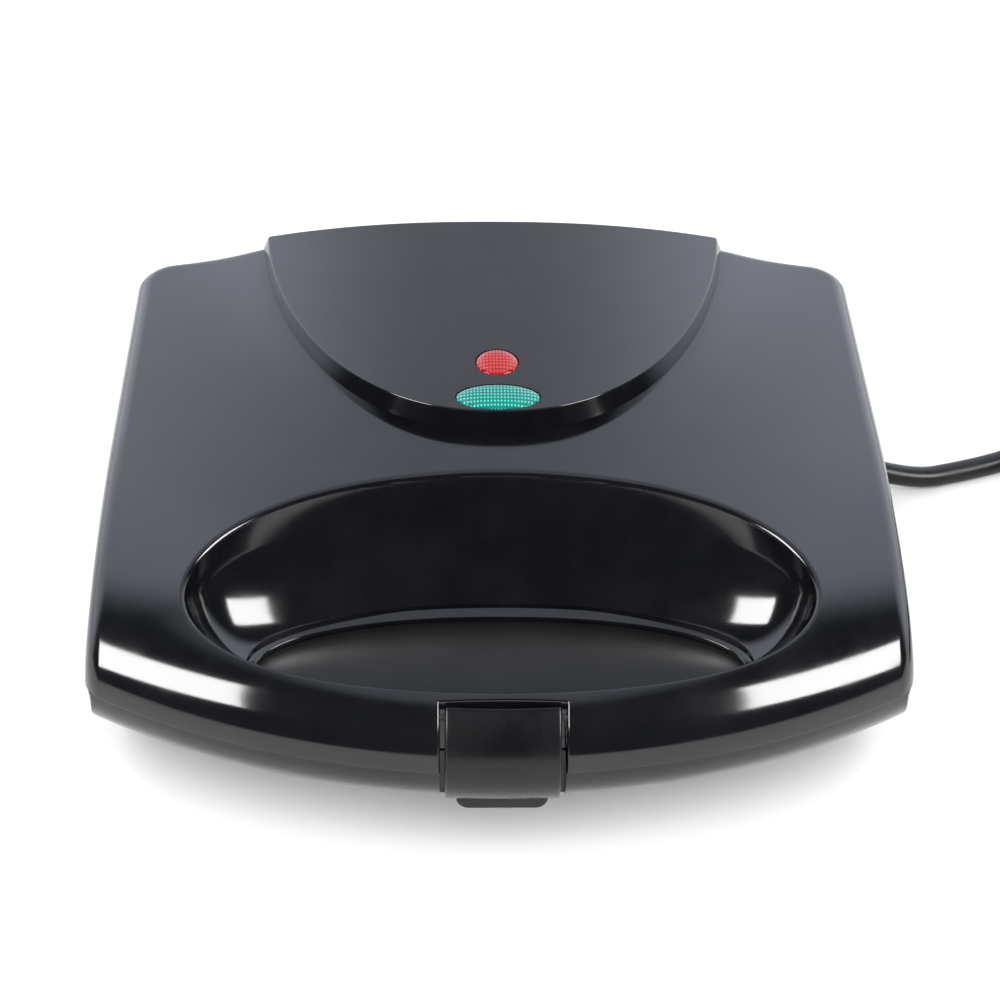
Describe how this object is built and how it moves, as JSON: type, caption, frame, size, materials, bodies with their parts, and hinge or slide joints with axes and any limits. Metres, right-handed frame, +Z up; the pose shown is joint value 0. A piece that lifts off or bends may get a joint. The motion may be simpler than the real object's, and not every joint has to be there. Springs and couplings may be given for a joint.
{
  "type": "electric sandwich maker",
  "caption": "Countertop sandwich maker with a hinged lid, a hand scoop and carrying handle at the front, a swing latch, round and oval pilot lenses and a mains cord.",
  "frame": {"origin": "on the surface that the feet stand on, under the middle of the closed appliance, its free cord apart", "axes": "+X to the right seen from the front, +Y to the hinge, +Z up"},
  "size_m": [0.4029, 0.2232, 0.0948],
  "materials": {
    "casing": "satin",
    "inner_plastic": "matt",
    "coated_plate": "dark non-stick coating",
    "steel_bar": "satin",
    "ceramic": "glazed ceramic",
    "spring_steel": "plated",
    "screw_steel": "zinc plated",
    "reflector_sheet": "bright sheet",
    "foot_rubber": "matt",
    "brass_parts": "polished",
    "wire_sleeve": "woven sleeve",
    "cord_rubber": "smooth",
    "tie_plastic": "smooth",
    "thermostat_case": "plated",
    "fuse_sleeve": "glass-fibre sleeve",
    "lamp_glass": "clear",
    "red_lens": "clear red, dotted",
    "green_lens": "clear green, dotted",
    "latch_plastic": "satin"
  },
  "bodies": {
    "base": {"lower_cover": "casing", "lower_plate_frame": "inner_plastic", "lower_cooking_plate": "coated_plate", "lower_heating_element": "steel_bar", "lower_insulators": "ceramic", "lower_element_clamp": "spring_steel", "lower_clamp_screws": "screw_steel", "lower_reflector": "reflector_sheet", "lower_plate_clips": "spring_steel", "lower_clip_screws": "screw_steel", "lower_cover_screws": "screw_steel", "rubber_feet": "foot_rubber", "hinge_pins": "steel_bar", "terminal_block": "ceramic", "terminal_screws": "brass_parts", "lower_wires": "wire_sleeve", "cord_guard": "cord_rubber", "cord_inner_end": "cord_rubber", "cord_clamp": "inner_plastic", "cord_clamp_screws": "screw_steel", "power_cord": "cord_rubber", "cord_coil": "cord_rubber", "cord_tie": "tie_plastic", "plug_body": "cord_rubber", "plug_pins": "brass_parts"},
    "lid": {"upper_cover": "casing", "upper_plate_frame": "inner_plastic", "upper_cooking_plate": "coated_plate", "upper_heating_element": "steel_bar", "upper_insulators": "ceramic", "upper_element_clamp": "spring_steel", "upper_clamp_screws": "screw_steel", "upper_reflector": "reflector_sheet", "upper_plate_clips": "spring_steel", "upper_clip_screws": "screw_steel", "upper_cover_screws": "screw_steel", "thermostat": "thermostat_case", "thermal_fuse": "fuse_sleeve", "fuse_clip": "spring_steel", "lamp_holder": "inner_plastic", "lamp_holder_screws": "screw_steel", "neon_lamps": "lamp_glass", "red_lens": "red_lens", "green_lens": "green_lens", "upper_wires": "wire_sleeve", "latch_pin": "steel_bar"},
    "latch": {"latch": "latch_plastic"}
  },
  "joints": [
    {"name": "lid_hinge", "type": "hinge", "parent": "base", "child": "lid", "pos_m": [0, 0.1058, 0.046], "axis": [-1, 0, 0], "range_deg": [0, 100]},
    {"name": "latch_pivot", "type": "hinge", "parent": "lid", "child": "latch", "pos_m": [0, -0.1013, 0.0594], "axis": [-1, 0, 0], "range_deg": [0, 20]}
  ]
}
